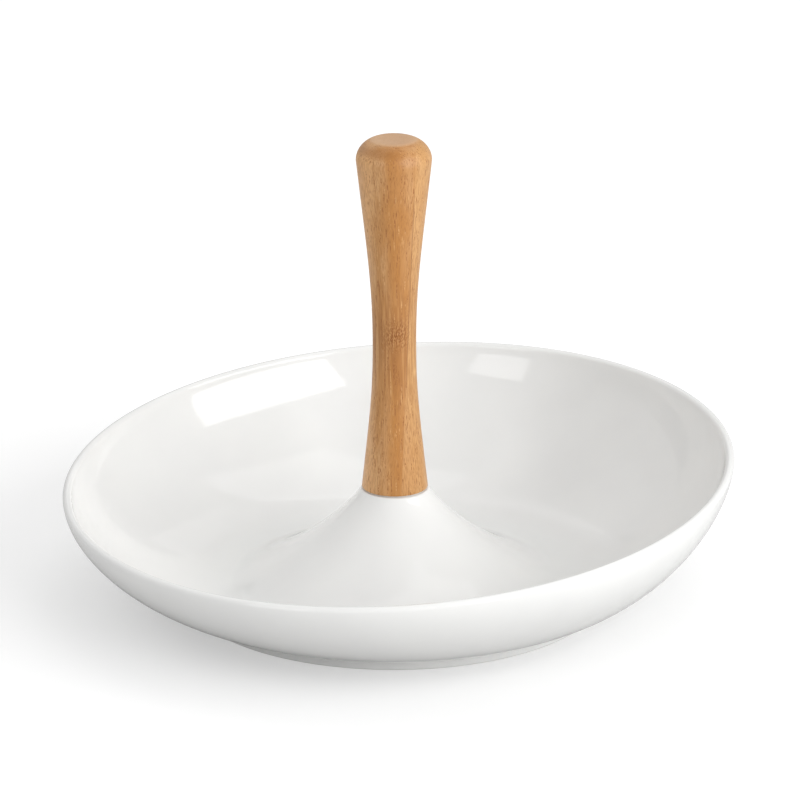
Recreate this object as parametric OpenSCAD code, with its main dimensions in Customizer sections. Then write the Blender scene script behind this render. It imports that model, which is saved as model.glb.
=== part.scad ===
// Chip and dip server: a shallow porcelain bowl whose middle rises in a hump,
// with a turned bamboo handle clamped to the top of the hump by one screw from below.
// Millimetres, +Z up. The origin is on the handle's axis, on the table.

/* [Bowl] */
// Outer diameter of the rim
rim_d = 305; // [290:1:330]
// Height of the rim's outer edge above the table, averaged round the bowl
rim_h = 57.5; // [50:0.5:72]
// Slope of the rim's plane, in degrees
rim_tilt = 4.6; // [0:0.1:6]
// Direction of the rim's highest point, in degrees from +X towards +Y
rim_high_at = 44; // [0:1:359]
// How far the rim's circle is moved towards its high side
rim_shift = 2; // [0:0.1:2.2]
// Thickness of the porcelain wall, which the lip rounds over
wall_t = 4; // [3.2:0.1:5]
// How far the wall leans outwards at the rim, in degrees from upright
rim_lean = 6.6; // [0:0.1:15]
// How far the outside keeps its first direction beside the foot
low_reach = 31; // [20:1:38]
// Slope of the outside where it leaves the foot, in degrees
low_rise = 13.4; // [6:0.1:20]
// How far the outside keeps its last direction below the rim
high_reach = 17; // [8:1:26]

/* [Foot ring] */
// Outer diameter of the foot ring
foot_d = 193; // [180:1:205]
// Height of the foot ring's upright outside face
foot_h = 4.9; // [4:0.1:7]
// Width of the foot ring
foot_w = 5; // [4:0.1:8]
// Rounding of the foot ring's two lower edges
foot_round = 0.8; // [0.3:0.1:1.5]
// Gap between the table and the base inside the foot ring
base_gap = 3; // [2:0.1:3.5]

/* [Hump] */
// Diameter of the flat seat on top of the hump
seat_d = 30.8; // [30.4:0.1:36]
// Height of the seat above the table
seat_h = 50.5; // [44:0.5:62]
// Thickness of the porcelain under the seat
seat_t = 6; // [5:0.1:8]
// Slope of the hump's side at the seat, in degrees
hump_slope = 59; // [50:1:65]
// How far the hump keeps its steep direction below the seat
hump_reach = 20; // [14:1:26]
// Radius of the lowest ring of the well, where the hump turns into the floor
valley_r = 75.5; // [68:0.5:80]
// How softly the hump turns into the floor
valley_reach = 12; // [6:1:18]
// Thickness of the floor at the lowest ring
floor_t = 4; // [3.5:0.1:5]
// Diameter of the flat pad under the seat, which the washers press on
pad_d = 26; // [23:0.5:27]

/* [Handle] */
// Length of the handle
handle_l = 164; // [130:1:200]
// Diameter of the handle at its base
base_d = 30; // [27:0.1:30.2]
// Diameter of the handle at its waist
waist_d = 19.7; // [18:0.1:24]
// Height of the waist above the handle's base
waist_at = 69; // [60:1:80]
// Largest diameter of the head
head_d = 34; // [28:0.1:38]
// Height of the head's widest ring below the handle's top
head_drop = 9.6; // [7:0.1:12]
// Diameter of the flat on top of the head
top_flat_d = 18.6; // [12:0.1:22]
// Flare of the handle's side at its base and under its head, in degrees from upright
side_flare = 6.4; // [4:0.1:8]
// Rounding of the handle's bottom edge
base_round = 0.6; // [0.3:0.1:1]

/* [Screw joint] */
// Thread diameter of the clamp screw
screw_d = 6; // [5:0.5:6]
// Rise of the handle for one turn of the screw
thread_pitch = 1; // [0.8:0.05:1.25]
// Length of thread in the insert when the handle is tight
thread_grip = 13; // [10:0.5:14]
// Radial running clearance between the screw and the insert's thread
thread_clear = 0.05; // [0.02:0.01:0.09]
// Radial clearance between the screw and the hole in the porcelain
hole_clear = 0.6; // [0.4:0.1:1]
// Radial clearance between the screw and its washers
washer_clear = 0.3; // [0.3:0.05:0.5]
// Diameter of the screw's head
screw_head_d = 10.5; // [9.5:0.1:11]
// Height of the screw's head
screw_head_h = 3.6; // [3.2:0.1:4.5]
// Chamfer round the lower edge of the screw's head
screw_head_edge = 1.2; // [0.5:0.1:1.6]
// Width across the flats of the hexagon socket in the screw's head
socket_af = 4; // [3:0.5:4]
// Depth of the hexagon socket
socket_depth = 2.2; // [1.5:0.1:2.6]
// Outer diameter of the threaded insert
insert_d = 9; // [8.5:0.1:11]
// Length of the threaded insert
insert_l = 16; // [15:0.5:20]
// Diameter of the flange at the insert's mouth
flange_d = 13; // [12:0.5:15]
// Thickness of the insert's flange
flange_t = 1.2; // [1:0.1:1.6]
// Spare depth of the handle's hole beyond the insert
hole_spare = 3; // [2:0.5:6]

/* [Gasket and washers] */
// Outer diameter of the gasket between the handle and the seat
gasket_d = 28; // [24:0.1:29]
// Thickness of the gasket
gasket_t = 0.6; // [0.4:0.1:1.2]
// Outer diameter of the soft washer against the porcelain
soft_d = 20; // [16:0.5:22]
// Thickness of the soft washer
soft_t = 2; // [1.5:0.1:3]
// Outer diameter of the wide steel washer
plate_d = 18; // [14:0.5:20]
// Thickness of the wide steel washer
plate_t = 1.6; // [1:0.1:2]
// Outer diameter of the spring washer
spring_d = 11.4; // [10.5:0.1:12.5]
// Thickness of the spring washer when it is clamped flat
spring_t = 1.5; // [1.2:0.1:2]
// Width of the slit in the spring washer
spring_slit = 0.8; // [0.5:0.1:1.5]

/* [Hidden] */
$fn = 72;

// Meeting heights, worked out from the seat upwards and downwards
handle_z = seat_h + gasket_t;
pad_z = seat_h - seat_t;
plate_z = pad_z - soft_t;
spring_z = plate_z - plate_t;
screw_z = spring_z - spring_t;
head_z = screw_z - screw_head_h;
screw_top = handle_z + thread_grip;

// The screw's tip is chamfered as deep as its thread, a fixed share of the pitch
thread_share = 0.61;
screw_tip = thread_share * thread_pitch;

// Shared radii
hole_r = screw_d / 2 + hole_clear;
washer_r = screw_d / 2 + washer_clear;

// Number of steps along each stretch of the bowl's section, and round the bowl
hump_steps = 12;
floor_steps = 4;
wall_steps = 11;
lip_steps = 7;
round_steps = 72;

// Extra length that carries a cut clear of the face it starts from
past = 1;

// A point on a cubic curve through p0 and p3, steered by p1 and p2
function curve(p, t) =
    pow(1 - t, 3) * p[0] + 3 * pow(1 - t, 2) * t * p[1]
    + 3 * (1 - t) * t * t * p[2] + t * t * t * p[3];

// The direction of that curve
function heading(p, t) =
    let (d = 3 * pow(1 - t, 2) * (p[1] - p[0]) + 6 * (1 - t) * t * (p[2] - p[1])
        + 3 * t * t * (p[3] - p[2]))
    d / norm(d);

// A quarter turn to the left of a direction
function left(d) = [-d[1], d[0]];

// A direction at an angle above the horizontal
function aim(a) = [cos(a), sin(a)];

// Radius and height of the rim's outer edge in direction a
function rim_r(a) =
    let (b = a - rim_high_at)
    rim_shift * cos(b) + sqrt(pow(rim_d / 2, 2) - pow(rim_shift * sin(b), 2));
function rim_z(a) = rim_h + tan(rim_tilt) * rim_r(a) * cos(a - rim_high_at);

// Steering points of the outside wall in direction a, from the foot to the rim
function wall_line(a) =
    let (start = [foot_d / 2, foot_h], end = [rim_r(a), rim_z(a)],
        rise = (end[1] - foot_h) / (rim_h - foot_h))
    [start, start + low_reach * aim(low_rise),
        end - high_reach * rise * aim(90 - rim_lean), end];

// The inside face stands one wall thickness off the outside
function inside(line, t) = curve(line, t) + wall_t * left(heading(line, t));

// Steering points of the floor, from the well's lowest ring out to the wall
floor_end = inside(wall_line(0), 0);
valley = [valley_r, base_gap + floor_t];
floor_line = [valley, valley + [floor_end[0] - valley_r, 0] / 3,
    floor_end - (floor_end[0] - valley_r) / 3 * aim(low_rise), floor_end];

// The hollow's edge lies this share of the floor's thickness inside the lowest ring,
// and its top keeps its direction for this share of the hump's reach
hollow_inset = 0.6;
hollow_share = 0.85;

// Steering points of the hump's upper face and of its hollow
hump_line = [[seat_d / 2, seat_h], [seat_d / 2, seat_h] + hump_reach * aim(-hump_slope),
    valley - [valley_reach, 0], valley];
hollow_rim = [valley_r - floor_t * hollow_inset, base_gap];
hollow_line = [hollow_rim, hollow_rim - [valley_reach, 0],
    [pad_d / 2, pad_z] + hump_reach * hollow_share * aim(-hump_slope), [pad_d / 2, pad_z]];

// The rounded lip, from the inside face over to the outside face
function lip(line) =
    let (up = heading(line, 1), mid = curve(line, 1) + wall_t / 2 * left(up))
    [for (i = [1 : lip_steps - 1])
        let (u = 180 * i / lip_steps)
        mid + wall_t / 2 * (cos(u) * left(up) + sin(u) * up)];

// The foot ring and base, from the outside face to the edge of the hollow
foot_out = foot_d / 2;
foot_in = foot_out - foot_w;
foot_mid = foot_round * (1 - cos(45));
foot_line = [
    [foot_out, foot_round], [foot_out - foot_mid, foot_mid],
    [foot_out - foot_round, 0], [foot_in + foot_round, 0],
    [foot_in + foot_mid, foot_mid], [foot_in, foot_round],
    [foot_in, base_gap]
];

// The bowl's whole section in direction a, from the seat's edge outwards,
// over the lip, down the outside and back under the base to the pad's edge
function section(a) =
    let (wall = wall_line(a))
    concat(
        [for (i = [0 : hump_steps - 1]) curve(hump_line, i / hump_steps)],
        [for (i = [0 : floor_steps - 1]) curve(floor_line, i / floor_steps)],
        [for (i = [0 : wall_steps]) inside(wall, i / wall_steps)],
        lip(wall),
        [for (i = [wall_steps : -1 : 0]) curve(wall, i / wall_steps)],
        foot_line,
        [for (i = [0 : hump_steps]) curve(hollow_line, i / hump_steps)]
    );

ring_count = len(section(0));
bowl_points = [for (k = [0 : round_steps - 1])
    let (a = 360 * k / round_steps)
    for (p = section(a)) [p[0] * cos(a), p[0] * sin(a), p[1]]];

// Corner number for ring i in direction k
function corner(k, i) = (k % round_steps) * ring_count + i;

bowl_faces = concat(
    [[for (k = [round_steps - 1 : -1 : 0]) corner(k, 0)]],
    [for (k = [0 : round_steps - 1], i = [0 : ring_count - 2], half = [0, 1])
        half == 0
            ? [corner(k, i), corner(k + 1, i), corner(k + 1, i + 1)]
            : [corner(k, i), corner(k + 1, i + 1), corner(k, i + 1)]],
    [[for (k = [0 : round_steps - 1]) corner(k, ring_count - 1)]]
);

// How far the handle's side keeps its direction, as shares of the stretch it belongs to:
// up from the base, down from the waist, up from the waist and down from the head
base_share = 0.56;
low_share = 0.31;
high_share = 0.32;
head_share = 0.51;

// Steering points of the handle's side, below and above the waist
base = [base_d / 2, base_round];
waist = [waist_d / 2, waist_at];
head = [head_d / 2, handle_l - head_drop];
low_l = waist_at;
high_l = head[1] - waist_at;
low_side = [base, base + base_share * low_l * aim(90 + side_flare),
    waist - [0, low_share * low_l], waist];
high_side = [waist, waist + [0, high_share * high_l],
    head - head_share * high_l * aim(90 - side_flare), head];
side_steps = 14;
crown_steps = 9;

// Angle through which the crown's arc has turned where it meets the flat
crown_end = 72;

// The rounded crown, an arc of an ellipse that stops short of level at the flat
function crown(i) =
    let (u = crown_end * i / crown_steps,
        across = (head_d - top_flat_d) / 2 / (1 - cos(crown_end)),
        up = head_drop / sin(crown_end))
    [head[0] - across * (1 - cos(u)), head[1] + up * sin(u)];

module bowl() {
    color("whitesmoke")
    difference() {
        polyhedron(points = bowl_points, faces = bowl_faces, convexity = 6);
        translate([0, 0, pad_z - past])
            cylinder(r = hole_r, h = seat_t + 2 * past);
    }
}

module handle() {
    color("burlywood")
    translate([0, 0, handle_z])
    difference() {
        rotate_extrude()
            polygon(concat(
                [[0, 0], base - [base_round, base_round]],
                [for (i = [0 : side_steps - 1]) curve(low_side, i / side_steps)],
                [for (i = [0 : side_steps - 1]) curve(high_side, i / side_steps)],
                [for (i = [0 : crown_steps]) crown(i)],
                [[0, handle_l]]
            ));
        translate([0, 0, -past])
            cylinder(d = insert_d, h = past + insert_l + hole_spare);
        translate([0, 0, -past])
            cylinder(d = flange_d, h = past + flange_t);
    }
}

module ring(outer_d, inner_r, thick) {
    difference() {
        cylinder(d = outer_d, h = thick);
        translate([0, 0, -past])
            cylinder(r = inner_r, h = thick + 2 * past);
    }
}

module handle_gasket() {
    color("gainsboro")
    translate([0, 0, seat_h])
        ring(gasket_d, hole_r, gasket_t);
}

module threaded_insert() {
    color("goldenrod")
    translate([0, 0, handle_z])
    difference() {
        union() {
            cylinder(d = flange_d, h = flange_t);
            cylinder(d = insert_d, h = insert_l);
        }
        translate([0, 0, -past])
            cylinder(r = screw_d / 2 + thread_clear, h = insert_l + 2 * past);
    }
}

module clamp_screw() {
    color("silver")
    difference() {
        rotate_extrude()
            polygon([
                [0, head_z], [screw_head_d / 2 - screw_head_edge, head_z],
                [screw_head_d / 2, head_z + screw_head_edge], [screw_head_d / 2, screw_z],
                [screw_d / 2, screw_z], [screw_d / 2, screw_top - screw_tip],
                [screw_d / 2 - screw_tip, screw_top], [0, screw_top]
            ]);
        translate([0, 0, head_z - past])
            cylinder(d = socket_af / cos(30), h = past + socket_depth, $fn = 6);
    }
}

module spring_washer() {
    color("silver")
    translate([0, 0, screw_z])
    difference() {
        ring(spring_d, washer_r, spring_t);
        translate([0, -spring_slit / 2, -past])
            cube([spring_d, spring_slit, spring_t + 2 * past]);
    }
}

module steel_washer() {
    color("silver")
    translate([0, 0, spring_z])
        ring(plate_d, washer_r, plate_t);
}

module soft_washer() {
    color("gainsboro")
    translate([0, 0, plate_z])
        ring(soft_d, washer_r, soft_t);
}

bowl();
handle();
handle_gasket();
threaded_insert();
clamp_screw();
spring_washer();
steel_washer();
soft_washer();
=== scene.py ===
# %% [markdown]
# # A chip and dip server in porcelain and bamboo
# The real object is a shallow porcelain bowl. Its middle rises in a hollow cone, and a
# turned bamboo handle is clamped to the top of that cone by one screw from below.
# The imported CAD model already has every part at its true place, so this lesson starts
# from it and gives each part a finer surface, a finish and a small studio to stand in.

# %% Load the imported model
import math
import bmesh
import bpy
import numpy as np
from mathutils import Matrix, Vector


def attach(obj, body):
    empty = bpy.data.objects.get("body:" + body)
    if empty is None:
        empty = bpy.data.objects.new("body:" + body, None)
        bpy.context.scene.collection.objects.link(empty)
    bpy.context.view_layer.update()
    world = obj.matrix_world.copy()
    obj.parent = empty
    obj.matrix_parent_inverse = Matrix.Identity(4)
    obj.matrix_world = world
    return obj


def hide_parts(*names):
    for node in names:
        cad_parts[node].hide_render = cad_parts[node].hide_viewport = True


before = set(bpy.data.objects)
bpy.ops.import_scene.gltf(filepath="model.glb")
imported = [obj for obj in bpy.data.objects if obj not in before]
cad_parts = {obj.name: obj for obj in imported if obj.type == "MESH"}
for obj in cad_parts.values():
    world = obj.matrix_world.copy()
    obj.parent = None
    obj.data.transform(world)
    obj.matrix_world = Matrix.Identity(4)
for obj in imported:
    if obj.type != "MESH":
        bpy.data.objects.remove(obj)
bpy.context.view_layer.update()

# %% [markdown]
# ## The camera
# A product camera stands well back with a long lens, so that the bowl's far rim looks
# hardly smaller than its near rim. It aims a little above the bowl, which puts the
# empty space above the handle. The direction is 20 degrees above the table.

# %% Place the camera
MM = 0.001
CAMERA_RISE = math.radians(20.0)
CAMERA_BACK = 2.2
CAMERA_LENS = 217.8
CAMERA_ROLL = math.radians(-0.15)
CAMERA_REACH = 50.0
orbit_centre = Vector((0.0, 0.0, 60 * MM))
aim_point = Vector((2.44 * MM, 0.0, 92.3 * MM))

camera_data = bpy.data.cameras.new("studio_camera")
camera_data.lens = CAMERA_LENS
camera_data.clip_end = CAMERA_REACH
camera = bpy.data.objects.new("studio_camera", camera_data)
bpy.context.collection.objects.link(camera)
from_bowl = Vector((0.0, -math.cos(CAMERA_RISE), math.sin(CAMERA_RISE)))
camera.location = orbit_centre + CAMERA_BACK * from_bowl
look = (aim_point - camera.location).to_track_quat("-Z", "Y").to_matrix().to_4x4()
roll = Matrix.Rotation(CAMERA_ROLL, 4, "Z")
camera.matrix_world = Matrix.Translation(camera.location) @ look @ roll
bpy.context.scene.camera = camera
print("camera at", [round(v, 3) for v in camera.location])

# %% [markdown]
# ## Curves for outlines
# Most of these parts are turned on a lathe or cast in a turned mould, so each one is an
# outline swept round the axis. The outlines are cubic curves, steered by two extra
# points, and short arcs where an edge is rounded.

# %% Curve helpers
def point(r, z):
    """A point of an outline: distance from the axis and height, given in millimetres."""
    return np.array([r, z], float) * MM


def aim(degrees):
    """A direction in an outline at an angle above level."""
    return np.array([math.cos(math.radians(degrees)), math.sin(math.radians(degrees))])


def curve(steer, t):
    """A point of the cubic curve through the first and last steering points."""
    a, b, c, d = steer
    return (1 - t) ** 3 * a + 3 * (1 - t) ** 2 * t * b + 3 * (1 - t) * t * t * c + t ** 3 * d


def heading(steer, t):
    """The direction in which that curve runs."""
    a, b, c, d = steer
    way = (1 - t) ** 2 * (b - a) + 2 * (1 - t) * t * (c - b) + t * t * (d - c)
    return way / np.linalg.norm(way)


def left(way):
    """A direction turned a quarter turn to the left."""
    return np.array([-way[1], way[0]])


def along(steer, steps, last=False):
    """Evenly spaced points of a curve, with or without its last point."""
    return [curve(steer, i / steps) for i in range(steps + (1 if last else 0))]


MOST_OF_A_SIDE = 0.45


def rounded(corners, radius, steps=4):
    """A closed outline with each corner rounded by a small arc."""
    line = []
    for i, corner in enumerate(corners):
        back, ahead = corners[i - 1] - corner, corners[(i + 1) % len(corners)] - corner
        back_length, ahead_length = np.linalg.norm(back), np.linalg.norm(ahead)
        size = min(radius, MOST_OF_A_SIDE * back_length, MOST_OF_A_SIDE * ahead_length)
        start = corner + size * back / back_length
        end = corner + size * ahead / ahead_length
        for k in range(steps + 1):
            t = k / steps
            line.append((1 - t) ** 2 * start + 2 * (1 - t) * t * corner + t * t * end)
    return line


# %% Turn points and faces into a smooth piece
SHARP_EDGE = math.radians(35.0)


def smooth_piece(name, verts, faces):
    """A piece with outward faces, smooth except where they meet at a sharp edge."""
    mesh = bpy.data.meshes.new(name)
    mesh.from_pydata(verts, [], faces)
    shell = bmesh.new()
    shell.from_mesh(mesh)
    bmesh.ops.recalc_face_normals(shell, faces=shell.faces)
    if shell.calc_volume(signed=True) < 0:
        bmesh.ops.reverse_faces(shell, faces=shell.faces)
    shell.to_mesh(mesh)
    volume = shell.calc_volume() / MM ** 3
    shell.free()
    mesh.polygons.foreach_set("use_smooth", [True] * len(mesh.polygons))
    mesh.set_sharp_from_angle(angle=SHARP_EDGE)
    piece = bpy.data.objects.new(name, mesh)
    bpy.context.collection.objects.link(piece)
    print(name, len(mesh.vertices), "points", round(volume), "mm3, size in mm:",
          [round(v / MM, 1) for v in piece.dimensions])
    return piece


# %% Sweep an outline round the axis
def swept(name, outline_at, directions, closed=True):
    """A smooth mesh from the outline that outline_at(angle) gives in each direction."""
    rows = np.array([outline_at(2 * math.pi * k / directions) for k in range(directions)])
    count = rows.shape[1]
    angles = 2 * np.pi * np.arange(directions) / directions
    verts = np.empty((directions, count, 3))
    verts[..., 0] = rows[..., 0] * np.cos(angles)[:, None]
    verts[..., 1] = rows[..., 0] * np.sin(angles)[:, None]
    verts[..., 2] = rows[..., 1]
    faces = []
    for k in range(directions):
        here, there = k * count, (k + 1) % directions * count
        for i in range(count if closed else count - 1):
            j = (i + 1) % count
            faces.append((here + i, there + i, there + j, here + j))
    if not closed:
        faces.append([k * count for k in range(directions)][::-1])
        faces.append([k * count + count - 1 for k in range(directions)])
    return smooth_piece(name, verts.reshape(-1, 3).tolist(), faces)


def turned(name, outline, directions=128, closed=True):
    """A swept mesh whose outline is the same in every direction."""
    return swept(name, lambda angle: outline, directions, closed)


def stands_for(piece, node, body):
    """Hangs a piece on its body in place of the plain CAD node."""
    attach(piece, body)
    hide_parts(node)


# %% [markdown]
# ## The bowl
# The bowl is one casting. Its rim is a circle in a sloping plane, while the foot, the
# floor and the hump are true to the upright axis. So the outline of the wall changes
# with direction: it starts from the same foot everywhere and ends at the local height
# of the rim. Subdividing a rough bowl would also look smooth, but here every point
# comes from the same formula as the CAD part, so both have exactly one shape.

# %% Sizes of the bowl in millimetres
RIM_D, RIM_H, RIM_TILT, RIM_HIGH_AT, RIM_SHIFT = 305.0, 57.5, 4.6, 44.0, 2.0
WALL_T, RIM_LEAN, LOW_REACH, LOW_RISE, HIGH_REACH = 4.0, 6.6, 31.0, 13.4, 17.0
FOOT_D, FOOT_H, FOOT_W, FOOT_ROUND, BASE_GAP = 193.0, 4.9, 5.0, 0.8, 3.0
SEAT_D, SEAT_H, SEAT_T, HUMP_SLOPE, HUMP_REACH = 30.8, 50.5, 6.0, 59.0, 20.0
VALLEY_R, VALLEY_REACH, FLOOR_T, PAD_D, HOLE_R = 75.5, 12.0, 4.0, 26.0, 3.6
HOLLOW_INSET, HOLLOW_SHARE = 0.6, 0.85


# %% The wall in one direction
def rim_point(angle):
    """Where the rim's outer edge lies in a direction."""
    turn = angle - math.radians(RIM_HIGH_AT)
    r = RIM_SHIFT * math.cos(turn) + math.sqrt((RIM_D / 2) ** 2 - (RIM_SHIFT * math.sin(turn)) ** 2)
    return point(r, RIM_H + math.tan(math.radians(RIM_TILT)) * r * math.cos(turn))


def wall_line(angle):
    """Steering points of the outside wall from the foot to the rim."""
    start, end = point(FOOT_D / 2, FOOT_H), rim_point(angle)
    rise = (end[1] - start[1]) / ((RIM_H - FOOT_H) * MM)
    return (start, start + LOW_REACH * MM * aim(LOW_RISE),
            end - HIGH_REACH * MM * rise * aim(90 - RIM_LEAN), end)


def inside(steer, t):
    """The inner face, one wall thickness off the outside."""
    return curve(steer, t) + WALL_T * MM * left(heading(steer, t))


def lip(steer, steps):
    """The rounded lip from the inner face over to the outer face."""
    up, half = heading(steer, 1.0), WALL_T / 2 * MM
    middle = curve(steer, 1.0) + half * left(up)
    turns = [math.pi * i / steps for i in range(1, steps)]
    return [middle + half * (math.cos(u) * left(up) + math.sin(u) * up) for u in turns]


# %% The floor, the hump and the hollow under it
floor_end = inside(wall_line(0.0), 0.0)
valley = point(VALLEY_R, BASE_GAP + FLOOR_T)
third = (floor_end[0] - valley[0]) / 3
floor_line = (valley, valley + third * aim(0), floor_end - third * aim(LOW_RISE), floor_end)
seat_edge, pad_edge = point(SEAT_D / 2, SEAT_H), point(PAD_D / 2, SEAT_H - SEAT_T)
hump_line = (seat_edge, seat_edge + HUMP_REACH * MM * aim(-HUMP_SLOPE),
             valley - VALLEY_REACH * MM * aim(0), valley)
hollow_rim = point(VALLEY_R - HOLLOW_INSET * FLOOR_T, BASE_GAP)
hollow_line = (hollow_rim, hollow_rim - VALLEY_REACH * MM * aim(0),
               pad_edge + HOLLOW_SHARE * HUMP_REACH * MM * aim(-HUMP_SLOPE), pad_edge)
foot_corners = [point(FOOT_D / 2, 0), point(FOOT_D / 2 - FOOT_W, 0)]
print("floor thickness in mm:", FLOOR_T, "wall thickness in mm:", WALL_T)


def arc_between(start, corner, end, steps=5):
    """A small rounding that starts and ends on the two sides of a corner."""
    return [curve((start, start / 3 + corner * 2 / 3, end / 3 + corner * 2 / 3, end), i / steps)
            for i in range(steps + 1)]


# %% The whole outline, and the bowl
BOWL_DIRECTIONS, LONG_STEPS, LIP_STEPS, FLOOR_STEPS, HOLLOW_STEPS = 288, 56, 14, 12, 48
EDGE_SOFT, HOLE_SOFT, ROOT_SOFT, EDGE_SHARE = 0.7, 0.3, 1.0, 0.012


def bowl_outline(angle):
    """The bowl's closed section, from the hole's upper edge round to its lower edge."""
    wall = wall_line(angle)
    out, inn = foot_corners
    steps = LONG_STEPS
    line = [point(HOLE_R, SEAT_H - HOLE_SOFT), point(HOLE_R + HOLE_SOFT, SEAT_H)]
    line += arc_between(
        seat_edge - EDGE_SOFT * MM * aim(0), seat_edge, curve(hump_line, EDGE_SHARE))
    line += [curve(hump_line, EDGE_SHARE + (1 - EDGE_SHARE) * i / steps) for i in range(1, steps)]
    line += along(floor_line, FLOOR_STEPS)
    line += [inside(wall, i / steps) for i in range(steps + 1)]
    line += lip(wall, LIP_STEPS)
    line += [curve(wall, i / steps) for i in range(steps, 0, -1)]
    below_wall = point(FOOT_D / 2, FOOT_H - 0.4)
    line += arc_between(curve(wall, EDGE_SHARE), curve(wall, 0.0), below_wall, 3)
    line += arc_between(out + point(0, FOOT_ROUND), out, out - point(FOOT_ROUND, 0))
    line += arc_between(inn + point(FOOT_ROUND, 0), inn, inn + point(0, FOOT_ROUND))
    root = inn + point(0, BASE_GAP)
    line += arc_between(root - point(0, ROOT_SOFT), root, root - point(ROOT_SOFT, 0))
    line += along(hollow_line, HOLLOW_STEPS, last=True)
    pad = SEAT_H - SEAT_T
    line += [point(HOLE_R + HOLE_SOFT, pad), point(HOLE_R, pad + HOLE_SOFT)]
    return line


bowl = swept("porcelain_bowl", bowl_outline, BOWL_DIRECTIONS)
stands_for(bowl, "bowl", "dish")

# %% [markdown]
# ## The handle
# The handle is turned from a glued block of bamboo strips: a flared base that sits on
# the seat, a slim waist for the fingers and a thick rounded head. From below it has a
# blind hole with a wide mouth for the threaded insert.

# %% Sizes of the handle in millimetres, and its outline
GASKET_T = 0.6
HANDLE_Z = SEAT_H + GASKET_T
HANDLE_L, BASE_D, BASE_ROUND, WAIST_D, WAIST_AT = 164.0, 30.0, 0.6, 19.7, 69.0
HEAD_D, HEAD_DROP, TOP_FLAT_D, SIDE_FLARE, CROWN_END = 34.0, 9.6, 18.6, 6.4, 72.0
INSERT_D, INSERT_L, FLANGE_D, FLANGE_T, HOLE_SPARE = 9.0, 16.0, 13.0, 1.2, 3.0
BASE_SHARE, LOW_SHARE, HIGH_SHARE, HEAD_SHARE = 0.56, 0.31, 0.32, 0.51
HANDLE_DIRECTIONS, CROWN_STEPS, LOW_STEPS, HIGH_STEPS = 192, 24, 80, 96


def handle_outline():
    """Half a section of the handle, from the hole's end round to the middle of the top."""
    head_at = HANDLE_L - HEAD_DROP
    up = lambda r, h: point(r, HANDLE_Z + h)
    reach = lambda share, length: share * length * MM
    waist, head = up(WAIST_D / 2, WAIST_AT), up(HEAD_D / 2, head_at)
    base = up(BASE_D / 2, BASE_ROUND)
    low_side = (base, base + reach(BASE_SHARE, WAIST_AT) * aim(90 + SIDE_FLARE),
                waist - reach(LOW_SHARE, WAIST_AT) * aim(90), waist)
    high_side = (waist, waist + reach(HIGH_SHARE, head_at - WAIST_AT) * aim(90),
                 head - reach(HEAD_SHARE, head_at - WAIST_AT) * aim(90 - SIDE_FLARE), head)
    end = math.radians(CROWN_END)
    across = (HEAD_D - TOP_FLAT_D) / 2 / (1 - math.cos(end))
    climb = HEAD_DROP / math.sin(end)
    crown = [up(HEAD_D / 2 - across * (1 - math.cos(u)), head_at + climb * math.sin(u))
             for u in [end * i / CROWN_STEPS for i in range(1, CROWN_STEPS)]]
    rim = up(TOP_FLAT_D / 2, HANDLE_L)
    line = [up(0.4, INSERT_L + HOLE_SPARE), up(INSERT_D / 2, INSERT_L + HOLE_SPARE - 0.8)]
    line += [up(INSERT_D / 2, FLANGE_T), up(FLANGE_D / 2, FLANGE_T)]
    line += [up(FLANGE_D / 2, 0.2), up(FLANGE_D / 2 + 0.2, 0)]
    line += arc_between(up(BASE_D / 2 - BASE_ROUND, 0), up(BASE_D / 2, 0), base)
    line += along(low_side, LOW_STEPS)[1:] + along(high_side, HIGH_STEPS) + [head] + crown
    line += arc_between(crown[-1], rim, rim - point(1.2, 0), 4)
    line += [up(r, HANDLE_L) for r in (6.0, 4.0, 2.0, 0.4)]
    return line


handle = turned("bamboo_handle", handle_outline(), HANDLE_DIRECTIONS, closed=False)
stands_for(handle, "handle", "grip")

# %% [markdown]
# ## The screw joint
# A threaded insert is pressed into the handle. The screw comes up from the hollow
# under the hump, through a spring washer, a wide steel washer and a soft washer, and
# pulls the handle down onto a thin gasket. The screw and the insert get a real helical
# thread, because it shows when the screw is loosened and the handle has risen.

# %% Sizes of the hardware in millimetres
SCREW_D, THREAD_PITCH, THREAD_DEPTH, THREAD_GRIP, THREAD_CLEAR = 6.0, 1.0, 0.61, 13.0, 0.05
SCREW_HEAD_D, SCREW_HEAD_H, SOCKET_AF, SOCKET_DEPTH = 10.5, 3.6, 4.0, 2.2
GASKET_D, SOFT_D, SOFT_T, PLATE_D, PLATE_T = 28.0, 20.0, 2.0, 18.0, 1.6
SPRING_D, SPRING_T, SPRING_SLIT, WASHER_R = 11.4, 1.5, 0.8, 3.3
PAD_Z = SEAT_H - SEAT_T
PLATE_Z = PAD_Z - SOFT_T
SPRING_Z = PLATE_Z - PLATE_T
SCREW_Z = SPRING_Z - SPRING_T
SCREW_TOP = HANDLE_Z + THREAD_GRIP


def ring_outline(inner_r, outer_r, low, high, edge):
    """A flat ring's section with its four corners rounded by an edge in millimetres."""
    corners = [point(inner_r, low), point(outer_r, low), point(outer_r, high), point(inner_r, high)]
    return rounded(corners, edge * MM)


# %% Gasket and washers
gasket = turned("gasket_disc", ring_outline(HOLE_R, GASKET_D / 2, SEAT_H, HANDLE_Z, 0.15))
stands_for(gasket, "handle_gasket", "dish")
soft_washer = turned("soft_washer_ring", ring_outline(WASHER_R, SOFT_D / 2, PLATE_Z, PAD_Z, 0.35))
stands_for(soft_washer, "soft_washer", "dish")
plate = turned("steel_washer_ring", ring_outline(WASHER_R, PLATE_D / 2, SPRING_Z, PLATE_Z, 0.25))
stands_for(plate, "steel_washer", "dish")


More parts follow.
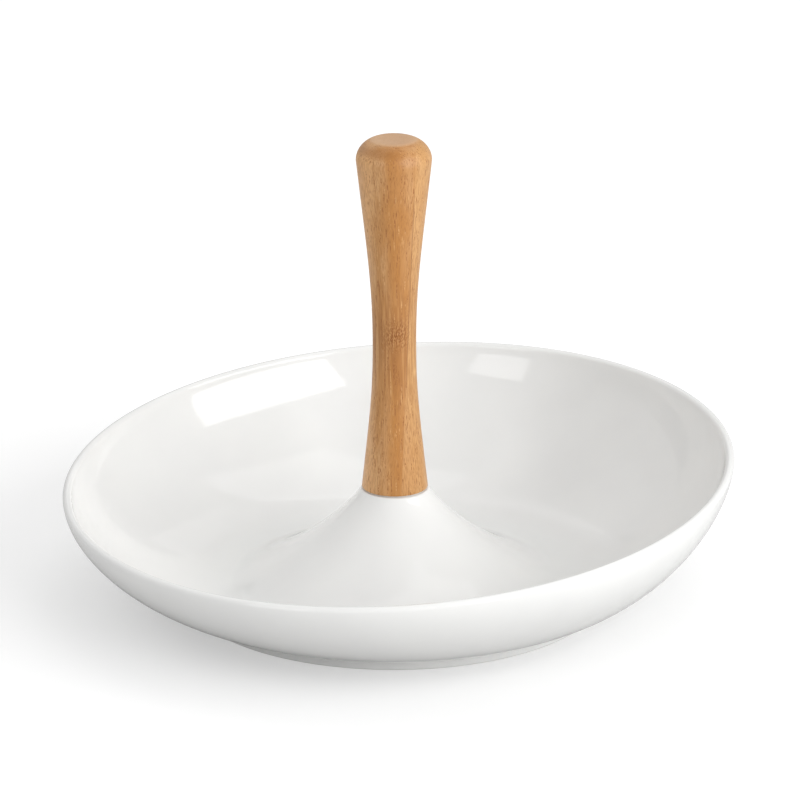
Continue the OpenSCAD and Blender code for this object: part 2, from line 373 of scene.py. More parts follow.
# %% The split spring washer
def split_ring(name, outline, slit, directions=96):
    """A ring with a narrow straight slit at +X, closed by two flat ends."""
    count = len(outline)
    verts, faces = [], []
    for k in range(directions + 1):
        for r, z in outline:
            open_angle = math.asin(slit / 2 / r)
            angle = open_angle + (2 * math.pi - 2 * open_angle) * k / directions
            verts.append((r * math.cos(angle), r * math.sin(angle), z))
    for k in range(directions):
        for i in range(count):
            j = (i + 1) % count
            faces.append((k * count + i, (k + 1) * count + i, (k + 1) * count + j, k * count + j))
    faces += [list(range(count)), [directions * count + i for i in range(count)][::-1]]
    return smooth_piece(name, verts, faces)


spring_outline = ring_outline(WASHER_R, SPRING_D / 2, SCREW_Z, SPRING_Z, 0.2)
spring = split_ring("spring_washer_ring", spring_outline, SPRING_SLIT * MM)
stands_for(spring, "spring_washer", "dish")

# %% [markdown]
# ### The thread
# A thread is a ridge that climbs one pitch in each turn. On a mesh it is enough to let
# the radius rise and fall with the height, and to slide that pattern upwards with the
# direction. The screw and the insert share one function, so they stay in mesh.

# %% The thread's ridge, the screw and the insert
THREAD_STEPS, CREST_GAIN, CREST_DROP = 10, 1.25, 0.06
DOME, TINY_R, TIP_FALL, STARTS_ABOVE, ENDS_BELOW = 2.0, 0.3, 1.1, 1.5, 0.6
KNURLS, KNURL_DEPTH, BORE_SPARE = 48, 0.12, 0.06
SCREW_DIRECTIONS, INSERT_DIRECTIONS = 96, 192


def ridge(angle, z):
    """How far the thread stands out at a height, from 0 in the groove to 1 on the crest."""
    phase = (z / MM / THREAD_PITCH - angle / (2 * math.pi)) % 1.0
    return min(1.0, max(0.0, (1 - abs(2 * phase - 1)) * CREST_GAIN - CREST_DROP))


def threaded(angle, low, high, clear):
    """The threaded stretch of an outline; its ridge fades to the root near both ends."""
    steps = int(round((high - low) / THREAD_PITCH * THREAD_STEPS))
    root = (SCREW_D / 2 - THREAD_DEPTH + clear) * MM
    line = []
    for i in range(steps + 1):
        z = (low + (high - low) * i / steps) * MM
        fade = min(1.0, i / THREAD_STEPS, (steps - i) / THREAD_STEPS)
        line.append(np.array([root + THREAD_DEPTH * MM * ridge(angle, z) * fade, z]))
    return line


def screw_outline(angle):
    """Half a section of the screw, from the socket's floor round to the tip."""
    hexagon = SOCKET_AF / 2 / math.cos((angle + math.pi / 6) % (math.pi / 3) - math.pi / 6)
    under = SCREW_Z - SCREW_HEAD_H
    head_r, shank_r = SCREW_HEAD_D / 2, SCREW_D / 2
    line = [point(TINY_R, under + SOCKET_DEPTH + 0.5), point(hexagon, under + SOCKET_DEPTH)]
    line += [point(hexagon, under + 0.2), point(hexagon + 0.2, under)]
    line += arc_between(
        point(head_r - DOME, under), point(head_r, under), point(head_r, under + DOME), 8)
    line += [point(head_r, SCREW_Z - 0.15), point(head_r - 0.15, SCREW_Z)]
    line += [point(shank_r, SCREW_Z), point(shank_r - 0.02, PAD_Z + 1.0)]
    line += threaded(angle, PAD_Z + STARTS_ABOVE, SCREW_TOP - ENDS_BELOW, 0.0)
    line += [point(shank_r - TIP_FALL, SCREW_TOP), point(TINY_R, SCREW_TOP)]
    return line


def insert_outline(angle):
    """The insert's closed section: flange, knurled outside and threaded bore."""
    knurl = KNURL_DEPTH * (1 + math.cos(KNURLS * angle)) / 2
    foot, top = HANDLE_Z, HANDLE_Z + INSERT_L
    shelf = foot + FLANGE_T
    outer_r, flange_r, bore_r = INSERT_D / 2, FLANGE_D / 2, SCREW_D / 2 + THREAD_CLEAR
    body_r = outer_r - knurl
    line = [point(bore_r, foot + 0.02), point(flange_r - 0.15, foot + 0.02)]
    line += [point(flange_r, foot + 0.2), point(flange_r, shelf), point(outer_r - 0.4, shelf)]
    line += [point(body_r, shelf + 0.6), point(body_r, top - 0.8), point(outer_r - 0.6, top)]
    bore = threaded(angle, foot + ENDS_BELOW, top - ENDS_BELOW, THREAD_CLEAR + BORE_SPARE)
    line += [point(bore_r, top)] + bore[::-1]
    return line


screw = swept("clamp_screw_m6", screw_outline, SCREW_DIRECTIONS, closed=False)
stands_for(screw, "clamp_screw", "screw")
insert = swept("insert_m6", insert_outline, INSERT_DIRECTIONS)
stands_for(insert, "threaded_insert", "grip")

# %% [markdown]
# ## Shader groups shared by the finishes
# No real surface has one flat value. Three small groups are used again and again:
# millimetre coordinates that ride with the piece, a soft mottling, and a band that
# is 1 near a height and fades out above and below it.

# %% Helpers for building shader trees
def socket(group, name, kind, direction, value=None):
    """Adds a named input or output to a shader group."""
    made = group.interface.new_socket(name=name, in_out=direction, socket_type=kind)
    if value is not None:
        made.default_value = value
    return made


def link(tree, source, target):
    """Joins an output to an input."""
    tree.links.new(source, target)


def maths(tree, operation, a, b=None, clamp=False):
    """A maths node whose inputs are numbers or other nodes' outputs."""
    node = tree.nodes.new("ShaderNodeMath")
    node.operation = operation
    node.use_clamp = clamp
    for slot_number, value in enumerate((a, b)):
        if value is None:
            continue
        if isinstance(value, (int, float)):
            node.inputs[slot_number].default_value = value
        else:
            link(tree, value, node.inputs[slot_number])
    return node.outputs[0]


def times(tree, first, *others):
    """The product of several numbers or outputs."""
    for other in others:
        first = maths(tree, "MULTIPLY", first, other)
    return first


def ranged(tree, value, low, high, out_low=0.0, out_high=1.0):
    """Maps a value from one range to another, smoothly and without overshoot."""
    node = tree.nodes.new("ShaderNodeMapRange")
    node.interpolation_type = "SMOOTHSTEP"
    link(tree, value, node.inputs["Value"])
    if low > high:
        low, high, out_low, out_high = high, low, out_high, out_low
    limits = {"From Min": low, "From Max": high, "To Min": out_low, "To Max": out_high}
    for name, number in limits.items():
        node.inputs[name].default_value = number
    return node.outputs["Result"]


def blended(tree, factor, first, second):
    """Mixes two colours, each a tuple or another node's output."""
    node = tree.nodes.new("ShaderNodeMix")
    node.data_type = "RGBA"
    if isinstance(factor, (int, float)):
        node.inputs["Factor"].default_value = factor
    else:
        link(tree, factor, node.inputs["Factor"])
    for name, value in (("A", first), ("B", second)):
        target = [s for s in node.inputs if s.name == name and s.type == "RGBA"][0]
        if isinstance(value, tuple):
            target.default_value = (*value, 1.0)
        else:
            link(tree, value, target)
    return [s for s in node.outputs if s.type == "RGBA"][0]


def scaled(tree, vector, sizes):
    """Stretches a vector by a different amount along each axis."""
    return vector_maths(tree, "MULTIPLY", vector, sizes)


def vector_maths(tree, operation, first, second):
    """A vector operation; the second vector is a tuple or another node's output."""
    node = tree.nodes.new("ShaderNodeVectorMath")
    node.operation = operation
    link(tree, first, node.inputs[0])
    if isinstance(second, tuple):
        node.inputs[1].default_value = second
    else:
        link(tree, second, node.inputs[1])
    return node.outputs[0]


def noise(tree, vector, scale, detail=3.0):
    """A noise value at each point."""
    node = tree.nodes.new("ShaderNodeTexNoise")
    link(tree, vector, node.inputs["Vector"])
    node.inputs["Scale"].default_value = scale
    node.inputs["Detail"].default_value = detail
    return node.outputs["Fac"]


# %% Group: millimetre coordinates
def millimetre_group():
    """Object coordinates in millimetres, with the distance from the axis and the height."""
    group = bpy.data.node_groups.new("Millimetres", "ShaderNodeTree")
    socket(group, "Place", "NodeSocketVector", "OUTPUT")
    socket(group, "Radius", "NodeSocketFloat", "OUTPUT")
    socket(group, "Height", "NodeSocketFloat", "OUTPUT")
    place = scaled(group, group.nodes.new("ShaderNodeTexCoord").outputs["Object"], (1000.0,) * 3)
    parts = group.nodes.new("ShaderNodeSeparateXYZ")
    link(group, place, parts.inputs[0])
    squares = [maths(group, "POWER", maths(group, "ABSOLUTE", parts.outputs[axis]), 2.0)
               for axis in ("X", "Y")]
    square = maths(group, "ADD", *squares)
    out = group.nodes.new("NodeGroupOutput")
    link(group, place, out.inputs["Place"])
    link(group, maths(group, "SQRT", square), out.inputs["Radius"])
    link(group, parts.outputs["Z"], out.inputs["Height"])
    return group


# %% Group: soft mottling
def mottle_group():
    """A cloudy value between Low and High, with patches of a given size in millimetres."""
    group = bpy.data.node_groups.new("Soft mottling", "ShaderNodeTree")
    socket(group, "Place", "NodeSocketVector", "INPUT")
    socket(group, "Patch size", "NodeSocketFloat", "INPUT", 10.0)
    socket(group, "Low", "NodeSocketFloat", "INPUT", 0.0)
    socket(group, "High", "NodeSocketFloat", "INPUT", 1.0)
    socket(group, "Value", "NodeSocketFloat", "OUTPUT")
    inputs = group.nodes.new("NodeGroupInput")
    cloud = group.nodes.new("ShaderNodeTexNoise")
    cloud.inputs["Detail"].default_value = 4.0
    link(group, inputs.outputs["Place"], cloud.inputs["Vector"])
    link(group, maths(group, "DIVIDE", 1.0, inputs.outputs["Patch size"]), cloud.inputs["Scale"])
    spread = group.nodes.new("ShaderNodeMapRange")
    link(group, cloud.outputs["Fac"], spread.inputs["Value"])
    spread.inputs["From Min"].default_value = 0.3
    spread.inputs["From Max"].default_value = 0.7
    link(group, inputs.outputs["Low"], spread.inputs["To Min"])
    link(group, inputs.outputs["High"], spread.inputs["To Max"])
    out = group.nodes.new("NodeGroupOutput")
    link(group, spread.outputs["Result"], out.inputs["Value"])
    return group


# %% Group: a band round a height
def band_group():
    """1 at a middle value, fading to 0 at a half width away from it."""
    group = bpy.data.node_groups.new("Band", "ShaderNodeTree")
    socket(group, "Value", "NodeSocketFloat", "INPUT")
    socket(group, "Middle", "NodeSocketFloat", "INPUT", 0.0)
    socket(group, "Half width", "NodeSocketFloat", "INPUT", 1.0)
    socket(group, "Mask", "NodeSocketFloat", "OUTPUT")
    inputs = group.nodes.new("NodeGroupInput")
    offset = maths(group, "SUBTRACT", inputs.outputs["Value"], inputs.outputs["Middle"])
    share = maths(group, "DIVIDE", maths(group, "ABSOLUTE", offset), inputs.outputs["Half width"])
    out = group.nodes.new("NodeGroupOutput")
    link(group, ranged(group, share, 0.0, 1.0, 1.0, 0.0), out.inputs["Mask"])
    return group


millimetres, mottling, band = millimetre_group(), mottle_group(), band_group()
print("groups:", [g.name for g in bpy.data.node_groups])


# %% Use a group in a material
def place_group(tree, group, **values):
    """Puts a group in a tree; each value is a number or another node's output."""
    node = tree.nodes.new("ShaderNodeGroup")
    node.node_tree = group
    for name, value in values.items():
        target = node.inputs[name.replace("_", " ")]
        if isinstance(value, (int, float)):
            target.default_value = value
        else:
            link(tree, value, target)
    return node


def near(tree, value, middle, half_width):
    """A mask round a middle value, from the shared band group."""
    placed = place_group(tree, band, Value=value, Middle=middle, Half_width=half_width)
    return placed.outputs["Mask"]


def new_finish(name):
    """A material with an empty tree, its shader and its millimetre coordinates."""
    material = bpy.data.materials.new(name)
    material.use_nodes = True
    tree = material.node_tree
    shader = tree.nodes["Principled BSDF"]
    return material, tree, shader, place_group(tree, millimetres)


def raised(tree, shader, height, depth):
    """Lets a height in 0..1 stand up by a depth in metres."""
    bump = tree.nodes.new("ShaderNodeBump")
    bump.inputs["Strength"].default_value = 1.0
    bump.inputs["Distance"].default_value = depth
    link(tree, height, bump.inputs["Height"])
    link(tree, bump.outputs["Normal"], shader.inputs["Normal"])


# %% [markdown]
# ## The glaze
# White glaze is a thin glass over a white body. It looks almost flat in colour, but it
# pools a little cooler in the valley round the hump, thins on the lip, waves very
# slightly, and is wiped off the foot's standing face, which stays matt.

# %% Porcelain material
GLAZE_THICK, GLAZE_THIN = (0.80, 0.80, 0.79), (0.835, 0.835, 0.82)
GLAZE_POOLED = (0.77, 0.79, 0.775)
BODY_DARK, BODY_PALE = (0.66, 0.65, 0.62), (0.74, 0.73, 0.70)
GLAZE_IOR, GLAZE_SMOOTH, GLAZE_DULL, BODY_ROUGH = 1.52, 0.05, 0.085, 0.75
BARE_BELOW, GLAZED_ABOVE, POOL_WIDTH, POOL_TINT = 0.25, 0.55, 22.0, 0.35
GLAZE_WAVE = 0.00006


def porcelain_finish():
    """Glossy white glaze with a bare standing face."""
    material, tree, shader, mm = new_finish("white_glaze")
    place = mm.outputs["Place"]
    cloud = place_group(tree, mottling, Place=place, Patch_size=46.0, Low=0.0, High=1.0)
    pool = near(tree, mm.outputs["Radius"], VALLEY_R + 2, POOL_WIDTH)
    bare = ranged(tree, mm.outputs["Height"], BARE_BELOW, GLAZED_ABOVE, 1.0, 0.0)
    clean = blended(tree, cloud.outputs["Value"], GLAZE_THICK, GLAZE_THIN)
    pooled = blended(tree, times(tree, pool, POOL_TINT), clean, GLAZE_POOLED)
    body = blended(tree, noise(tree, place, 2.2, 5.0), BODY_DARK, BODY_PALE)
    link(tree, blended(tree, bare, pooled, body), shader.inputs["Base Color"])
    gloss = place_group(
        tree, mottling, Place=place, Patch_size=18.0, Low=GLAZE_SMOOTH, High=GLAZE_DULL)
    rough = tree.nodes.new("ShaderNodeMix")
    link(tree, bare, rough.inputs["Factor"])
    link(tree, gloss.outputs["Value"], rough.inputs["A"])
    rough.inputs["B"].default_value = BODY_ROUGH
    link(tree, rough.outputs["Result"], shader.inputs["Roughness"])
    shader.inputs["IOR"].default_value = GLAZE_IOR
    wave = noise(tree, place, 0.07, 2.0)
    grit = times(tree, noise(tree, place, 6.0), times(tree, bare, 0.6))
    raised(tree, shader, maths(tree, "ADD", wave, grit), GLAZE_WAVE)
    return material


# %% [markdown]
# ## The bamboo
# Bamboo has no rings. It is pale pith crossed by thousands of dark fibre bundles that
# all run along the stem. Cutting a curved handle through them gives long lines where
# the side is upright and short flecks where it slopes. A solid texture of upright
# columns does the same by itself, on the side and on the end grain of the top. Each
# glued strip gets its own tone, and a node is added, where the bundles tangle. Painted
# light brightens the left edge, and painted shade darkens the middle of the front. The
# colour is built up in layers, each a mask and a tone, in the order of the list.

# %% Sizes of the bamboo's structure in millimetres
# the last two sizes place the painted light along the handle's left edge
SEAM_X, SEAM_LEVEL, SEAM_SLANT, LEFT_LIGHT_X, LEFT_LIGHT_SOFT = 7.9, 115.0, 0.043, -9.5, 2.5
SEAM_FADES_IN, SEAM_FADES_OUT = (45.0, 62.0), (134.0, 146.0)
NODE_AT, NODE_HALF, NODE_X, NODE_WIDTH, NODE_FOLD = 75.0, 10.0, 0.9, 9.0, 0.9
# the last two sizes place the painted shade down the middle of the front
WAIST_MIDDLE, WAIST_REACH, FRONT_SHADE_X, FRONT_SHADE_REACH = 70.0, 42.0, 1.5, 10.0
SCAR_X, SCAR_AT, PIT_X, PIT_Y, SHOULDER_DROP = 9.0, 56.0, 2.6, 9.2, 3.4
BUNDLE_GAP, BUNDLE_DRIFT, UPRIGHT_STRETCH, STRIP_SHIFT = 0.72, 2.4, 0.03, 31.7
LACQUER_IOR, LACQUER_SMOOTH, LACQUER_DULL, PORE_DEPTH = 1.46, 0.34, 0.46, 0.00006


# %% Group: fibre bundles
def fibre_group():
    """Upright columns: dark bundles, pale ones, and fine streaks between them."""
    group = bpy.data.node_groups.new("Fibre bundles", "ShaderNodeTree")
    socket(group, "Place", "NodeSocketVector", "INPUT")
    socket(group, "Gap", "NodeSocketFloat", "INPUT", 1.0)
    for name in ("Dark", "Pale", "Streaks"):
        socket(group, name, "NodeSocketFloat", "OUTPUT")
    inputs = group.nodes.new("NodeGroupInput")
    slow = group.nodes.new("ShaderNodeTexNoise")
    slow.inputs["Scale"].default_value = 1.0
    slow.inputs["Detail"].default_value = 2.0
    link(group, scaled(group, inputs.outputs["Place"], (0.12, 0.12, 0.035)), slow.inputs["Vector"])
    centred = vector_maths(group, "SUBTRACT", slow.outputs["Color"], (0.5, 0.5, 0.5))
    drift = vector_maths(group, "MULTIPLY", centred, (BUNDLE_DRIFT, BUNDLE_DRIFT, 0.0))
    moved = vector_maths(group, "ADD", inputs.outputs["Place"], drift)
    cells = group.nodes.new("ShaderNodeTexVoronoi")
    cells.feature = "F1"
    link(group, scaled(group, moved, (1.0, 1.0, UPRIGHT_STRETCH)), cells.inputs["Vector"])
    link(group, maths(group, "DIVIDE", 1.0, inputs.outputs["Gap"]), cells.inputs["Scale"])
    core = ranged(group, cells.outputs["Distance"], 0.2, 0.5, 1.0, 0.0)
    kind = group.nodes.new("ShaderNodeSeparateColor")
    link(group, cells.outputs["Color"], kind.inputs[0])
    fine = noise(group, scaled(group, moved, (3.0, 3.0, 0.1)), 1.0)
    out = group.nodes.new("NodeGroupOutput")
    link(group, times(group, core, ranged(group, kind.outputs[0], 0.35, 0.6)), out.inputs["Dark"])
    link(group, times(group, core, ranged(group, kind.outputs[0], 0.3, 0.15)), out.inputs["Pale"])
    link(group, fine, out.inputs["Streaks"])
    return group


fibres = fibre_group()


# %% Bamboo colours, from pale pith to dark bundle
# the third colour below is painted shade for the middle of the front
PITH_PALE, PITH_WARM, FRONT_SHADE_DARK = (0.60, 0.335, 0.145), (0.52, 0.255, 0.085), (0.46, 0.19, 0.04)
# the second colour below is painted light for the left edge
STRIP_PALE, LEFT_EDGE_LIGHT = (0.64, 0.36, 0.145), (0.76, 0.43, 0.19)
FLECK_PALE, TOP_PALE = (0.74, 0.45, 0.20), (0.66, 0.42, 0.24)
STREAK_DARK, BUNDLE_DARK = (0.36, 0.15, 0.04), (0.31, 0.115, 0.03)
KNOT_DARK, GLUE_DARK = (0.25, 0.082, 0.016), (0.24, 0.09, 0.03)


# %% The strips and the seam between them
def strip_masks(tree, x, height):
    """The right strip, the painted light along the left edge, and the seam, which leans a little.
    """
    lean = times(tree, maths(tree, "SUBTRACT", height, SEAM_LEVEL), SEAM_SLANT)
    beyond = maths(tree, "SUBTRACT", maths(tree, "SUBTRACT", x, lean), SEAM_X)
    right_strip = ranged(tree, beyond, -0.1, 0.1)
    # painted light along the left edge, where light grazes the handle from the back left
    painted_left_light = ranged(tree, x, LEFT_LIGHT_X + LEFT_LIGHT_SOFT, LEFT_LIGHT_X - LEFT_LIGHT_SOFT)
    line = ranged(tree, maths(tree, "ABSOLUTE", beyond), 0.08, 0.34, 1.0, 0.0)
    seam = times(tree, line, ranged(tree, height, *SEAM_FADES_IN),
                 ranged(tree, height, *SEAM_FADES_OUT, 1.0, 0.0))
    return right_strip, painted_left_light, seam


# %% The fibres
def fibre_masks(tree, x, y, height, right_strip):
    """Masks of the fibres, shifted in one strip so that they don't run on across the seam."""
    shifted = tree.nodes.new("ShaderNodeCombineXYZ")
    link(tree, maths(tree, "ADD", x, times(tree, right_strip, STRIP_SHIFT)), shifted.inputs["X"])
    link(tree, y, shifted.inputs["Y"])
    link(tree, height, shifted.inputs["Z"])
    place = shifted.outputs[0]
    grain = place_group(tree, fibres, Place=place, Gap=BUNDLE_GAP)
    broken = ranged(tree, noise(tree, scaled(tree, place, (1.5, 1.5, 0.8)), 1.0), 0.42, 0.56)
    broad = noise(tree, scaled(tree, place, (0.2, 0.2, 0.03)), 1.0, 2.0)
    strands = noise(tree, scaled(tree, place, (1.0, 1.0, 0.02)), 1.0, 2.0)
    return {
        "broad": ranged(tree, broad, 0.36, 0.64),
        "fine": ranged(tree, grain.outputs["Streaks"], 0.45, 0.65, 0.0, 0.55),
        "long": ranged(tree, strands, 0.48, 0.58),
        "gaps": ranged(tree, strands, 0.46, 0.36),
        "flecks": times(tree, grain.outputs["Dark"], broken, 0.85),
        "pale": times(tree, grain.outputs["Pale"], broken, 0.5),
    }


# %% The node, where the bundles tangle into short chevrons
def node_masks(tree, x, height, place):
    """Masks of the knot, its dark chevrons, the pale gaps in them and the stain round it."""
    wander = maths(tree, "SUBTRACT", noise(tree, place, 0.3, 2.0), 0.5)
    ragged = maths(tree, "ADD", height, times(tree, wander, 7.0))
    knot = times(tree, near(tree, ragged, NODE_AT, NODE_HALF), near(tree, x, NODE_X, NODE_WIDTH))
    stain = times(tree, near(tree, ragged, NODE_AT, 12.0), near(tree, x, -4.0, 9.0), 0.3)
    side = maths(tree, "ABSOLUTE", maths(tree, "SUBTRACT", x, NODE_X))
    fold = tree.nodes.new("ShaderNodeCombineXYZ")
    link(tree, x, fold.inputs["X"])
    link(tree, maths(tree, "SUBTRACT", height, times(tree, side, NODE_FOLD)), fold.inputs["Z"])
    tangle = noise(tree, scaled(tree, fold.outputs[0], (1.7, 1.0, 0.8)), 1.0, 1.0)
    return knot, ranged(tree, tangle, 0.48, 0.56), ranged(tree, tangle, 0.46, 0.40), stain


# %% Bamboo material
def bamboo_finish():
    """Turned bamboo strips under a thin satin lacquer, painted in layers from the pith up."""
    material, tree, shader, mm = new_finish("turned_bamboo")
    place = mm.outputs["Place"]
    parts = tree.nodes.new("ShaderNodeSeparateXYZ")
    link(tree, place, parts.inputs[0])
    x, y = parts.outputs["X"], parts.outputs["Y"]
    height = maths(tree, "SUBTRACT", mm.outputs["Height"], HANDLE_Z)

    right_strip, painted_left_light, seam = strip_masks(tree, x, height)
    grain = fibre_masks(tree, x, y, height, right_strip)
    knot, chevrons, gaps_in_knot, stain = node_masks(tree, x, height, place)
    waist = near(tree, height, WAIST_MIDDLE, WAIST_REACH)
    # painted shade down the middle of the front, which faces the camera and reflects little light
    painted_front_shade = near(tree, x, FRONT_SHADE_X, FRONT_SHADE_REACH)
    scar = times(tree, near(tree, x, SCAR_X, 1.2), near(tree, height, SCAR_AT, 3.0))
    # the shoulder cuts the bundles across, and the flat on top is painted paler
    shoulder = times(tree, near(tree, height, HANDLE_L - SHOULDER_DROP, 3.6),
                     ranged(tree, x, 6.0, -2.0))
    top = ranged(tree, height, HANDLE_L - 0.9, HANDLE_L - 0.1)
    pit = times(tree, near(tree, x, PIT_X, 1.8), near(tree, y, PIT_Y, 1.6), top)

    colour = blended(tree, grain["broad"], PITH_PALE, PITH_WARM)
    layers = [
        # the next two layers are painted shade down the middle of the front, deeper at the waist
        (times(tree, painted_front_shade, 0.75), FRONT_SHADE_DARK),
        (times(tree, painted_front_shade, waist, 0.45), STREAK_DARK),
        (times(tree, right_strip, ranged(tree, height, 20.0, 60.0, 0.42, 0.6)), STRIP_PALE),
        # painted light on the left edge
        (times(tree, painted_left_light, 0.8), LEFT_EDGE_LIGHT),
        (grain["fine"], STREAK_DARK),
        (times(tree, grain["long"], waist, 0.75), STREAK_DARK),
        (times(tree, grain["gaps"], waist, 0.35), STRIP_PALE),
        (grain["flecks"], BUNDLE_DARK),
        (grain["pale"], FLECK_PALE),
        (stain, STREAK_DARK),
        (times(tree, knot, 0.3), STREAK_DARK),
        (times(tree, knot, chevrons), KNOT_DARK),
        (times(tree, knot, gaps_in_knot, 0.3), STRIP_PALE),
        (times(tree, seam, 0.45), GLUE_DARK),
        (times(tree, scar, 0.5), FLECK_PALE),
        (times(tree, shoulder, 0.62), STREAK_DARK),
        (times(tree, top, 0.6), TOP_PALE),
        (times(tree, pit, 0.8), KNOT_DARK),
    ]
    for mask, tone in layers:
        colour = blended(tree, mask, colour, tone)
    link(tree, colour, shader.inputs["Base Color"])

    satin = place_group(
        tree, mottling, Place=place, Patch_size=7.0, Low=LACQUER_SMOOTH, High=LACQUER_DULL)
    duller = times(tree, grain["flecks"], 0.2)
    link(tree, maths(tree, "ADD", satin.outputs["Value"], duller), shader.inputs["Roughness"])
    shader.inputs["IOR"].default_value = LACQUER_IOR
    open_grain = maths(tree, "ADD", grain["flecks"], times(tree, seam, 0.5))
    raised(tree, shader, maths(tree, "SUBTRACT", 1.0, open_grain, clamp=True), PORE_DEPTH)
    print("bamboo layers:", len(layers), "shader nodes:", len(tree.nodes))
    return material


# %% [markdown]
# ## Metal and silicone
# The hardware is small and mostly hidden. Turned metal has fine rings round its axis
# and handling smudges; silicone is matt and faintly dusty.

# %% Metal and silicone materials
RINGS_PER_MM, RING_DEPTH, SMUDGE_SIZE = 9.0, 0.000008, 2.5
RUBBER_DARK, RUBBER_PALE, RUBBER_DEPTH = (0.70, 0.70, 0.67), (0.78, 0.78, 0.76), 0.00002


def metal_finish(name, dark, bright, rough_low, rough_high):
    """Turned metal with fine rings and smudges."""
    material, tree, shader, mm = new_finish(name)
    across = times(tree, mm.outputs["Radius"], RINGS_PER_MM)
    rings = maths(tree, "ADD", across, mm.outputs["Height"])
    lines = tree.nodes.new("ShaderNodeTexNoise")
    lines.noise_dimensions = "1D"
    lines.inputs["Detail"].default_value = 3.0
    link(tree, rings, lines.inputs["W"])
    smudge = place_group(
        tree, mottling, Place=mm.outputs["Place"], Patch_size=SMUDGE_SIZE,
        Low=rough_low, High=rough_high)
    link(tree, blended(tree, lines.outputs["Fac"], dark, bright), shader.inputs["Base Color"])
    link(tree, smudge.outputs["Value"], shader.inputs["Roughness"])
    shader.inputs["Metallic"].default_value = 1.0
    raised(tree, shader, lines.outputs["Fac"], RING_DEPTH)
    return material


def silicone_finish():
    """Matt pale silicone with a trace of dust."""
    material, tree, shader, mm = new_finish("clear_silicone")
    placed = place_group(
        tree, mottling, Place=mm.outputs["Place"], Patch_size=1.6, Low=0.0, High=1.0)
    dust = placed.outputs["Value"]
    link(tree, blended(tree, dust, RUBBER_DARK, RUBBER_PALE), shader.inputs["Base Color"])
    link(tree, ranged(tree, dust, 0.0, 1.0, 0.5, 0.66), shader.inputs["Roughness"])
    raised(tree, shader, noise(tree, mm.outputs["Place"], 5.0), RUBBER_DEPTH)
    return material


# %% Give every piece its finish
steel = metal_finish("plain_stainless", (0.46, 0.46, 0.45), (0.66, 0.66, 0.65), 0.2, 0.36)
brass = metal_finish("turned_brass", (0.62, 0.42, 0.16), (0.80, 0.58, 0.26), 0.22, 0.38)
silicone = silicone_finish()
finishes = [(bowl, porcelain_finish()), (handle, bamboo_finish()),
            (gasket, silicone), (soft_washer, silicone),
            (plate, steel), (spring, steel), (screw, steel), (insert, brass)]
for piece, finish in finishes:
    piece.data.materials.append(finish)
print("finishes:", [m.name for _, m in finishes])

# %% [markdown]
# ## The studio
# A white table that fills the camera's view, an even white surround and five
# softboxes. The broad key box, low at the front right, gives the crisp patch in the
# glaze, the bright right side and the soft shadow on the left. A narrow fill at the
# front left makes the second patch; three weak ones above and behind open up the
# inside of the bowl. The table also glows a little towards the camera alone, so that
# it stays white without throwing more light on the bowl. It is clear from below and
# open under the middle of the foot, where nothing shows from above, so that light
# gets in and the underside and the screw can be looked at.

# %% Floor and surround
TABLE_STEPS, TABLE_HOLE, TABLE_REACH = 72, 80.0 * MM, 12.0
TABLE_WHITE, TABLE_ROUGH = (0.70, 0.70, 0.70, 1.0), 0.9
GLOW_FROM, GLOW_TO = 150.0, 420.0
GLOW_NEAR, GLOW_FAR, NO_GLOW = (0.34, 0.34, 0.34), (0.44, 0.44, 0.44), (0.0, 0.0, 0.0)
SURROUND_LIGHT = 0.53


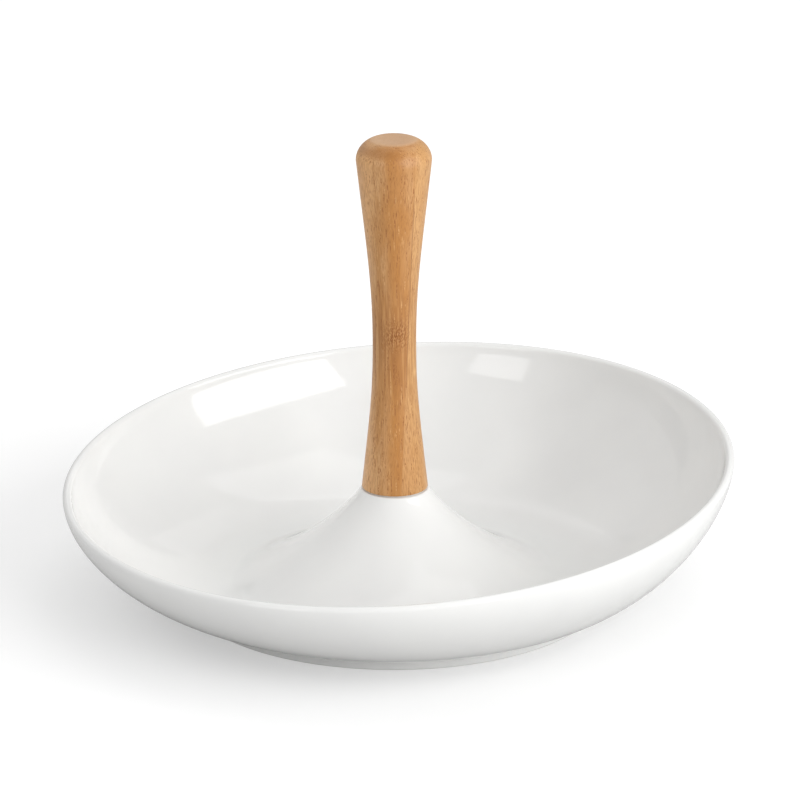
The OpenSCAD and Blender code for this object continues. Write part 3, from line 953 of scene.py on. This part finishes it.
def studio_floor():
    """A wide white table top with a hidden hole inside the foot, glowing more far away."""
    steps = TABLE_STEPS
    round_once = [math.tau * step / steps for step in range(steps)]
    verts = [(r * math.cos(t), r * math.sin(t), 0.0)
             for r in (TABLE_HOLE, TABLE_REACH) for t in round_once]
    faces = [(i, steps + i, steps + (i + 1) % steps, (i + 1) % steps) for i in range(steps)]
    mesh = bpy.data.meshes.new("white_table")
    mesh.from_pydata(verts, [], faces)
    floor = bpy.data.objects.new("white_table", mesh)
    bpy.context.collection.objects.link(floor)
    material, tree, shader, mm = new_finish("white_table")
    shader.inputs["Base Color"].default_value = TABLE_WHITE
    shader.inputs["Roughness"].default_value = TABLE_ROUGH
    shader.inputs["Specular IOR Level"].default_value = 0.0
    outside = ranged(tree, mm.outputs["Radius"], GLOW_FROM, GLOW_TO)
    glow = blended(tree, outside, GLOW_NEAR, GLOW_FAR)
    straight = tree.nodes.new("ShaderNodeLightPath").outputs["Is Camera Ray"]
    link(tree, blended(tree, straight, NO_GLOW, glow), shader.inputs["Emission Color"])
    shader.inputs["Emission Strength"].default_value = 1.0
    below = tree.nodes.new("ShaderNodeNewGeometry").outputs["Backfacing"]
    link(tree, maths(tree, "SUBTRACT", 1.0, below), shader.inputs["Alpha"])
    mesh.materials.append(material)


def surround(strength):
    """An even white surround."""
    world = bpy.data.worlds.new("white_surround")
    world.use_nodes = True
    bpy.context.scene.world = world
    plain = world.node_tree.nodes["Background"]
    plain.inputs["Color"].default_value = (1.0, 1.0, 1.0, 1.0)
    plain.inputs["Strength"].default_value = strength


# %% Lights
def softbox(name, azimuth, rise, back, width, height, radiance):
    """A softbox facing the bowl: angles in degrees, distance and size in metres, brightness."""
    data = bpy.data.lights.new(name, "AREA")
    data.shape = "RECTANGLE"
    data.size, data.size_y = width, height
    data.energy = radiance * math.pi * width * height
    lamp = bpy.data.objects.new(name, data)
    bpy.context.collection.objects.link(lamp)
    turn, up = math.radians(azimuth), math.radians(rise)
    towards = Vector((math.cos(turn) * math.cos(up), math.sin(turn) * math.cos(up), math.sin(up)))
    lamp.location = orbit_centre + back * towards
    lamp.rotation_euler = towards.to_track_quat("Z", "Y").to_euler()
    print(name, "at", [round(v, 2) for v in lamp.location], "energy", round(data.energy, 1))


studio_floor()
surround(SURROUND_LIGHT)
softbox("key_softbox", -39.0, 22.0, 1.7, 1.75, 1.28, 3.6)
softbox("fill_softbox", -131.0, 17.0, 1.7, 0.60, 0.70, 2.2)
softbox("top_softbox", 60.0, 70.0, 1.8, 1.2, 1.2, 0.85)
softbox("back_softbox", 90.0, 40.0, 1.8, 1.2, 1.0, 0.37)
softbox("left_softbox", 150.0, 42.0, 1.8, 2.4, 2.0, 0.32)
bpy.context.scene.view_settings.view_transform = "Standard"
